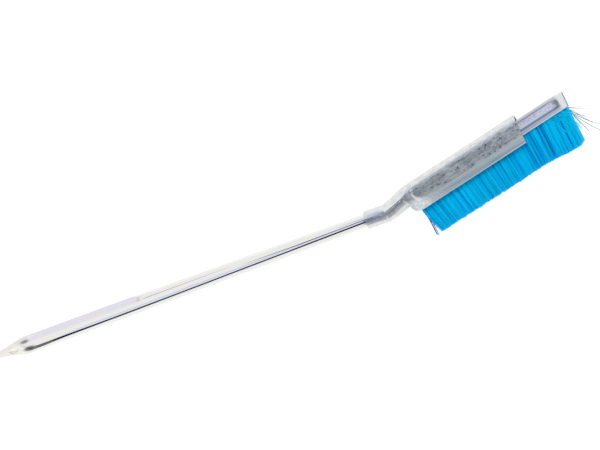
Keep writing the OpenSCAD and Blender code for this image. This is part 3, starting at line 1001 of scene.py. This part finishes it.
grid = np.meshgrid(np.linspace(0, 1, COLUMNS), np.linspace(-0.5, 0.5, ROWS), indexing="ij")
grid_x, grid_z = (g.ravel() for g in grid)
count = grid_x.size
x = ROOT_X + (ROOT_END - ROOT_X) * grid_x + rng.uniform(-0.2, 0.2, count)
z = ROOT_W * grid_z + rng.uniform(-0.15, 0.15, count)
x = np.clip(x, ROOT_X, ROOT_END)
tip_lean = (TIP_LINE - 1) * (x - (ROOT_X + ROOT_END) / 2)
bulge = NEAR_BULGE * (1 - ease(ROOT_X, ROOT_X + BULGE_L, x))
tuft = 0.5 * soft_noise(x + 0.6 * z, 2.8, 1) + 0.4 * soft_noise(x - 0.8 * z, 0.9, 2)
longer_end = LONGER_BY * ease(ROOT_END - LONGER_FROM, ROOT_END - LONGER_TO, x)
rounded_end = ROUND_BY * ease(ROOT_END - ROUND_FROM, ROOT_END, x)
depth = TIP_Y + 0.6 - longer_end + rounded_end
roots = np.stack([x, np.full(count, ROOT_Y), z], -1)
tips = np.stack([
    x + tip_lean + tuft + rng.normal(0, 0.22, count),
    depth + 0.35 * soft_noise(x, 1.5, 5) + rng.normal(0, 0.28, count),
    z * TIP_SPREAD + 0.35 * soft_noise(x, 1.1, 3) + rng.normal(0, 0.2, count),
], -1)
mids = (roots + tips) / 2 + np.stack([
    bulge - 0.25 * tuft + rng.normal(0, 0.12, count), np.zeros(count), 0.15 * z,
], -1)
# The blue is a little paler towards the handle, where more light reaches the filaments
paler = 0.1 * (1 - ease(ROOT_X + 5, ROOT_X + 90, x))
shade = 0.55 + paler + 0.3 * soft_noise(x + 0.3 * z, 0.6, 4) + rng.normal(0, 0.2, count)
shade = np.clip(shade, 0, 1)
filaments = plant("filaments", rod, roots, mids, tips, np.full(count, FILAMENT_D), shade)

# %% [markdown]
# The folded ends fill the channel round the wire. Where the channel is open at its free end
# they show as a solid blue bundle, so the fold is one blank wrapped as an arch, with its two
# ends closed.

# %% The folded bundle
FOLD_R = 3.15
FOLD_Y = 0.9
FOLD_ROUGH = 0.12


def wrap_fold(u, v):
    """An arch round the wire: u runs round it and v from the neck to the free end."""
    x = ROOT_X + (ROOT_END - ROOT_X) * v
    share = np.abs(2 * u - 1)
    outline = np.array(
        [(FOLD_Y + FOLD_R * cos(a), FOLD_R * sin(a)) for a in np.linspace(0, pi / 2, 12)]
        + [(ROOT_Y, FOLD_R), (ROOT_Y - 0.6, FOLD_R), (ROOT_Y - 0.6, 0.0)]
    )
    section = at_share(outline, share)
    rough = FOLD_ROUGH * np.sin(x * 9.1 + 3 * np.sin(x * 1.7)) * (share < 0.8)
    y, z = section[:, 0] + rough, section[:, 1] * np.sign(u - 0.5) * (1 + rough * 0.05)
    return on_head(np.stack([x, y, z], -1))


fold = blank("folded_bundle", 48, 260, wrap_fold)
close_seams(fold)
fill_ends(fold)
smooth(fold, 60)

# %% [markdown]
# A few filaments work loose. Each row below is one: where it bends and where its tip is, in
# the head's x and y, and how much it sags. Most stand out at the free end, and three at the
# end near the handle. They are drawn a little thicker than they are, or they wouldn't show.
# Some more curl over the others near the free end.

# %% Loose and curled filaments
END_STRAYS = [
    (147.6, -9.9, 162.0, -17.8, 0.4), (147.6, -12.4, 154.8, -19.5, 0.2),
    (148.2, -18.3, 160.8, -29.4, 0.3), (147.3, -16.8, 158.9, -33.8, 0.3),
    (147.8, -14.6, 151.2, -28.9, 0.2), (147.8, -9.0, 160.5, -8.8, 0.5),
    (147.4, -11.0, 156.5, -25.4, 0.4), (147.0, -8.6, 156.8, -12.4, 0.3),
]
SIDE_STRAYS = [
    (24.2, -17.0, 21.8, -32.9, 0.0), (25.0, -17.0, 23.3, -33.3, 0.0),
    (24.0, -16.0, 22.2, -31.6, 0.0),
]
CURLS = 34
CURLS_FROM = 126

stray_rod = one_filament(8)
bend_x, bend_y, tip_x, tip_y, sag = np.array(END_STRAYS + SIDE_STRAYS).T
stray_n = len(sag)
at_end = np.arange(stray_n) < len(END_STRAYS)
stray_tips = np.stack([tip_x, tip_y, rng.uniform(-3, 3, stray_n)], -1)
root_x = np.minimum(bend_x, ROOT_END) - 1.2
root_z = rng.uniform(-2.4, 2.4, stray_n)
stray_roots = np.stack([root_x, np.full(stray_n, ROOT_Y), root_z], -1)
stray_mids = np.stack([bend_x, bend_y + 3.0 * sag, np.zeros(stray_n)], -1)
stray_d = np.where(at_end, 0.44, 0.6)
# A value below 0 marks a loose filament for the material
stray_value = np.where(at_end, -1.0, -0.35)
strays = plant("strays", stray_rod, stray_roots, stray_mids, stray_tips, stray_d, stray_value)

curl_x = rng.uniform(CURLS_FROM, ROOT_END - 1, CURLS)
curl_roots = np.stack([curl_x, np.full(CURLS, ROOT_Y), np.full(CURLS, 2.6)], -1)
reach_x = rng.uniform(6, 17, CURLS) * (1 - 0.6 * (curl_x - CURLS_FROM) / 22)
curl_tip = np.minimum(curl_x + reach_x, 151.5)
curl_tips = np.stack(
    [curl_tip, rng.uniform(-25, -12, CURLS), rng.uniform(3.6, 5.2, CURLS)], -1
)
curl_mids = np.stack(
    [curl_x + 0.35 * reach_x, rng.uniform(-9.5, -7.5, CURLS), rng.uniform(4.2, 5.4, CURLS)], -1
)
curl_d, curl_value = np.full(CURLS, 0.45), rng.uniform(0.8, 1, CURLS)
curls = plant(
    "curled_filaments", stray_rod, curl_roots, curl_mids, curl_tips, curl_d, curl_value
)

# %% [markdown]
# ## Blue nylon
#
# The filaments are extruded nylon, dyed right through and slightly clear. Light travels down
# and between them, so the tips and the outer filaments look paler than the roots, and the
# deep grooves look dark. The surface has a soft gloss. Half of the light goes through, so a
# translucent shader is mixed with the plain one. A loose filament has little blue light round
# it and looks dull and dark against the white ground.

# %% Blue nylon
BLUES = [(0.0, "#0084c6"), (0.25, "#00c3f8"), (0.5, "#00e1ff"), (0.85, "#0aecff"), (1.0, "#20ecff")]
NYLON_IOR = 1.53

nylon, tree = new_material("blue_nylon")
own = add_node(tree, "Attribute", {"attribute_name": "filament"}).outputs["Fac"]
reach = add_node(tree, "Attribute", {"attribute_name": "reach"}).outputs["Fac"]
blue = add_node(tree, "ValToRGB", {"stops": BLUES}, Fac=own)
pale_tip = add_node(tree, "MapRange", Value=reach, From_Min=0.75, From_Max=1.0, To_Max=0.5)
blue = add_node(tree, "Mix", RGBA, Factor=pale_tip, A=blue, B="#2cdcfa")
loose = add_node(tree, "MapRange", Value=own, From_Min=-0.2, From_Max=-0.8)
blue = add_node(tree, "Mix", RGBA, Factor=loose, A=blue, B="#387e92")
skin = add_node(tree, "BsdfPrincipled", Base_Color=blue, Roughness=0.38, IOR=NYLON_IOR)
through = add_node(tree, "BsdfTranslucent", Color=blue)
both = add_node(tree, "MixShader", Fac=0.5, i1=skin, i2=through)
add_node(tree, "OutputMaterial", Surface=both)
for piece in (filaments, strays, curls):
    dress(piece, nylon)
stand_for(filaments, "blue_nylon", "bristles")
for piece in (strays, curls):
    stand_for(piece, "blue_nylon")

# %% [markdown]
# The folded bundle is the same nylon, but packed: it is darker, and its threads run round the
# arch. They are a noise that changes fast along X and slowly round the section.

# %% Folded nylon
# Cells to a metre: threads 0.4 mm wide and 3.3 mm long
THREADS = (2600, 300, 300)

bundle, tree = new_material("folded_nylon")
place = head_place(tree)
packed = add_node(tree, "Mapping", Vector=place, Scale=THREADS)
threads = add_node(tree, "TexNoise", Vector=packed, Scale=1.0, Detail=2.0)
tone = add_node(tree, "ValToRGB", {"stops": [(0.35, "#005c9c"), (0.65, "#009ad6")]}, Fac=threads)
bump = add_node(tree, "Bump", Strength=0.5, Distance=0.2 * MM, Height=threads)
packed_skin = add_node(tree, "BsdfPrincipled", Base_Color=tone, Roughness=0.42, Normal=bump)
add_node(tree, "OutputMaterial", Surface=packed_skin)
dress(fold, bundle)
stand_for(fold, "blue_nylon")

# %% [markdown]
# ## The stage and the light
#
# The photograph has a pure white ground and almost no shadow, as on a white table in a light
# tent. To the camera the floor is a grey that glows a little by itself, so that it comes out
# white and the brush's shadow stays pale. To bounced light it is plain white paper.

# %% Floor
FLOOR_SIZE = 8
SHOWN_GREY, PAPER_GREY = 0.3, 0.85
GLOW_STRENGTH = 0.8

deselect_all()
bpy.ops.mesh.primitive_plane_add(size=FLOOR_SIZE)
floor = bpy.context.object
floor.name = "floor"
white, tree = new_material("white_floor")
sees = add_node(tree, "LightPath")
by_camera, by_glass = sees.outputs["Is Camera Ray"], sees.outputs["Is Transmission Ray"]
shown = add_node(tree, "Math", LARGER, i0=by_camera, i1=by_glass)
grey = add_node(tree, "MapRange", Value=shown, To_Min=PAPER_GREY, To_Max=SHOWN_GREY)
grey = add_node(tree, "CombineColor", Red=grey, Green=grey, Blue=grey)
matt_white = add_node(tree, "BsdfDiffuse", Color=grey)
glow = add_node(tree, "Math", TIMES, i0=shown, i1=GLOW_STRENGTH)
glow = add_node(tree, "Emission", Color="#ffffff", Strength=glow)
table = add_node(tree, "AddShader", i0=matt_white, i1=glow)
print("floor so far:", len(tree.nodes), "nodes")

# %% [markdown]
# Mirrors see the floor as the table of the photograph: near white, but lavender behind the
# part of the handle that stands over a lavender wall there. These borders are in the row's
# metres. The mirrored table has no shadow of its own, so it is plain light.

# %% The floor in mirrors
place = add_node(tree, "TexCoord").outputs["Object"]
parts = add_node(tree, "SeparateXYZ", Vector=place)
floor_x, floor_y = parts.outputs["X"], parts.outputs["Y"]
behind = add_node(tree, "MapRange", Value=floor_y, From_Min=-12 * MM, From_Max=0.0)
by_grip = add_node(tree, "MapRange", Value=floor_x, From_Min=-122.5 * MM, From_Max=-123.5 * MM)
by_tail = add_node(tree, "MapRange", Value=floor_x, From_Min=-210 * MM, From_Max=-202 * MM)
tinted = add_node(tree, "Math", TIMES, i0=behind, i1=by_grip)
tinted = add_node(tree, "Math", TIMES, i0=tinted, i1=by_tail)
table_tint = add_node(tree, "Mix", RGBA, Factor=tinted, A="#fbfbf7", B="#eae7f0")
in_mirror = add_node(tree, "Emission", Color=table_tint, Strength=1.0)
whole = add_node(tree, "MixShader", i0=sees.outputs["Is Glossy Ray"], i1=table, i2=in_mirror)
add_node(tree, "OutputMaterial", Surface=whole)
dress(floor, white)

# %% [markdown]
# The tent is the world: white for the camera, an even and slightly cool grey for soft light,
# and cream for mirrors.

# %% Tent
world = bpy.data.worlds.new("tent")
bpy.context.scene.world = world
world.use_nodes = True
tree = world.node_tree
tree.nodes.clear()
sees = add_node(tree, "LightPath")
by_camera, by_glass = sees.outputs["Is Camera Ray"], sees.outputs["Is Transmission Ray"]
soft = add_node(tree, "Background", Color=(0.93, 0.95, 1.0, 1), Strength=0.75)
tent = add_node(tree, "Background", Color="#f3f2ee", Strength=1.0)
ground = add_node(tree, "Background", Color="#ffffff", Strength=1.0)
either = add_node(tree, "MixShader", i0=sees.outputs["Is Glossy Ray"], i1=soft, i2=tent)
clear = add_node(tree, "Math", LARGER, i0=by_camera, i1=by_glass)
whole = add_node(tree, "MixShader", i0=clear, i1=either, i2=ground)
add_node(tree, "OutputWorld", Surface=whole)
print("tent:", len(tree.nodes), "nodes")

# %% [markdown]
# Polished steel shows what stands round it, so a few cards that only mirrors see stand where
# the photograph's did. Each card is placed by where the tube mirrors it: x mm along the axis
# from the elbow, and a share across the tube, from -1 at its upper edge in the picture to 1
# at its lower one. The tube's normal there, and the line to the camera, give the way that the
# mirrored ray goes, and the card's point stands on that way.


# %% Cards that only mirrors see
def mirrored(x, share, far, on_axis, radius):
    """The point, far mm from the axis, that a tube of this radius mirrors at (x, share)."""
    foot = on_axis(np.stack([x, 0 * x, 0 * x], -1)) / MM
    axis = on_axis([1, 0, 0]) / MM - on_axis([0, 0, 0]) / MM
    to_eye = np.array(camera.matrix_world.translation) / MM - foot
    to_eye = to_eye / np.linalg.norm(to_eye, axis=1)[:, None]
    facing = to_eye - np.outer(to_eye @ axis, axis)
    facing = facing / np.linalg.norm(facing, axis=1)[:, None]
    normal = facing * np.sqrt(1 - share**2)[:, None] - np.cross(facing, axis) * share[:, None]
    ray = 2 * (to_eye * normal).sum(1)[:, None] * normal - to_eye
    flat_ray = ray - np.outer(ray @ axis, axis)
    a, b = (flat_ray**2).sum(1), radius * (flat_ray * normal).sum(1)
    t = (-b + np.sqrt(b * b + a * (far * far - radius * radius))) / a
    return (foot + radius * normal + t[:, None] * ray) * MM


def card(name, stops, rows, far, on_axis=on_handle, radius=5.5):
    """A card that shines in its own colours, and that only mirrored rays meet.

    Its rows are (x, upper share, lower share), and its stops colour it from upper to lower.
    """
    xs, uppers, lowers = np.array(rows, float).T

    def wrap(u, v):
        row = v * (len(xs) - 1)
        x, upper, lower = (np.interp(row, range(len(xs)), edge) for edge in (xs, uppers, lowers))
        return mirrored(x, upper + (lower - upper) * u, far, on_axis, radius)

    piece = blank(name, 12, 8 * (len(xs) - 1), wrap)
    material, tree = new_material(name)
    across = add_node(tree, "SeparateXYZ", Vector=add_node(tree, "TexCoord").outputs["UV"])
    tone = add_node(tree, "ValToRGB", {"stops": stops}, Fac=across)
    shine = add_node(tree, "Emission", Color=tone, Strength=1.0)
    add_node(tree, "OutputMaterial", Surface=shine)
    dress(piece, material)
    for ray in ("camera", "diffuse", "transmission", "volume_scatter", "shadow"):
        setattr(piece, "visible_" + ray, False)


print("the first mirrored point (m):", mirrored(np.array([-200.0]), np.zeros(1), 160, on_handle, 6))

# %% [markdown]
# Behind the grip stands a lavender wall, with a window's edge and sill where the taper starts.
# A blue glow runs above the tube's dark front edge. Its colours fade, so it is a soft band.

# %% Pale cards round the handle
WALL_ROWS = [(-269.2, -0.74, -0.245), (-182.5, -0.74, -0.255)]
SIDE_ROWS = [(-182.8, -0.97, -0.27), (-181.9, -0.97, -0.27)]
SILL_ROWS = [(-178, -0.41, -0.35), (-114, -0.42, -0.395)]
GLOW_ROWS = [
    (-246, 0.34, 0.44), (-225, 0.18, 0.46), (-185, 0.14, 0.46), (-140, 0.06, 0.44),
    (-74, -0.06, 0.34), (-14, -0.12, 0.22),
]
GLOW = [(0, "#f3f2ee"), (0.35, "#c8cee4"), (0.6, "#eceffd"), (0.85, "#e2e6fa"), (1, "#8c98c4")]

card("lavender_wall", [(0, "#e8e5ee"), (1, "#ebe9f0")], WALL_ROWS, far=170)
card("window_side", [(0, "#8c8c92"), (1, "#8c8c92")], SIDE_ROWS, far=160)
card("window_sill", [(0, "#9c9ca2"), (1, "#9c9ca2")], SILL_ROWS, far=160)
card("blue_glow", GLOW, GLOW_ROWS, far=165)

# %% [markdown]
# The dark front edge is broad and grey at the tail and thin and nearly black towards the neck,
# where a second dark edge comes in above it. Nearer cards hide farther ones.

# %% Dark cards round the handle
TAIL_ROWS = [(-271, 0.42, 0.90), (-266, 0.43, 0.88), (-256, 0.43, 0.72), (-243, 0.42, 0.64)]
FRONT_ROWS = [
    (-252, 0.44, 0.60), (-243, 0.42, 0.63), (-211, 0.43, 0.60), (-140, 0.37, 0.53),
    (-74, 0.255, 0.44), (-36, 0.16, 0.38), (-14, 0.10, 0.335),
]
SECOND_ROWS = [
    (-104, -0.14, -0.12), (-62, -0.10, 0.0), (-36, -0.15, -0.05), (-14, -0.19, -0.09),
]

card("tail_front", [(0, "#6a6e7a"), (0.3, "#66686a"), (1, "#7a7c7a")], TAIL_ROWS, far=152)
card("dark_front", [(0, "#4a5474"), (0.25, "#181c26"), (1, "#282c32")], FRONT_ROWS, far=150)
card("second_edge", [(0, "#3a3d4c"), (1, "#3a3d4c")], SECOND_ROWS, far=155)

# %% [markdown]
# Round the head: a grey ceiling over the pressed side, with a blue edge towards the back, a
# lavender one over the strip, a dark bar in front of the socket and of the neck, and another
# low in front of the strip's channel.

# %% Cards round the head
CEILING = [
    (0, "#e2e6f0"), (0.1, "#c6d2ea"), (0.22, "#b6c4de"), (0.34, "#acb5c0"), (0.72, "#adb3b9"),
    (1, "#b4bec6"),
]
CEILING_ROWS = [(19, -0.52, 0.55), (113, -0.52, 0.55)]
STRIP_CEILING = [(0, "#d0d4e8"), (1, "#dcdff2")]
STRIP_ROWS = [(113, -0.40, 0.55), (143.6, -0.40, 0.55)]
SOCKET_BAR = [
    (0, "#e4e8fd"), (0.12, "#b4beea"), (0.2, "#0a1030"), (0.38, "#0a0c12"), (0.52, "#666c7a"),
    (1, "#aab0b6"),
]
SOCKET_ROWS = [(-16.5, -0.20, 0.62), (-8, -0.32, 0.60), (3, -0.45, 0.58)]
NECK_BAR = [
    (0, "#c3cbee"), (0.1, "#8f9cc8"), (0.18, "#10131c"), (0.3, "#30343c"), (0.5, "#767c86"),
    (1, "#b4b8bc"),
]
NECK_ROWS = [
    (-9, 0.05, 0.62), (-2, -0.10, 0.61), (5, -0.24, 0.60), (13, -0.32, 0.60), (21, -0.45, 0.55),
]
CHANNEL_BAR = [(0, "#8f93a8"), (1, "#8f93a8")]
LOW_ROWS = [(108, 0.36, 0.68), (146, 0.36, 0.68)]

card("ceiling", CEILING, CEILING_ROWS, far=300, on_axis=on_head, radius=6.3)
card("strip_ceiling", STRIP_CEILING, STRIP_ROWS, far=300, on_axis=on_head, radius=5)
card("socket_bar", SOCKET_BAR, SOCKET_ROWS, far=160, radius=6.4)
card("neck_bar", NECK_BAR, NECK_ROWS, far=150, on_axis=on_head, radius=6.8)
card("channel_bar", CHANNEL_BAR, LOW_ROWS, far=200, on_axis=on_head, radius=5)

# %% [markdown]
# Two large soft lamps light the brush: the key from behind and above, and a weaker fill from
# the front. Mirrors don't see them, because the tent already stands there.


# %% Lamps
def soft_lamp(name, place, target, size, power):
    """A rectangular lamp at a place, aimed at a target, that mirrors don't see."""
    data = bpy.data.lights.new(name, "AREA")
    data.shape = "RECTANGLE"
    data.size, data.size_y = size
    data.energy = power
    lamp = bpy.data.objects.new(name, data)
    bpy.context.scene.collection.objects.link(lamp)
    lamp.location = place
    aimed = (Vector(target) - Vector(place)).to_track_quat("-Z", "Y")
    lamp.rotation_euler = aimed.to_euler()
    lamp.visible_glossy = False


soft_lamp("key", place=(0.2, 0.9, 1.1), target=(0.05, 0, 0), size=(0.9, 0.6), power=11)
soft_lamp("fill", place=(-0.3, -0.9, 1.0), target=(0.0, 0, 0), size=(0.8, 0.6), power=5)

# %% [markdown]
# The standard view shows colours as they are written.

# %% Standard view and the end
bpy.context.scene.view_settings.view_transform = "Standard"
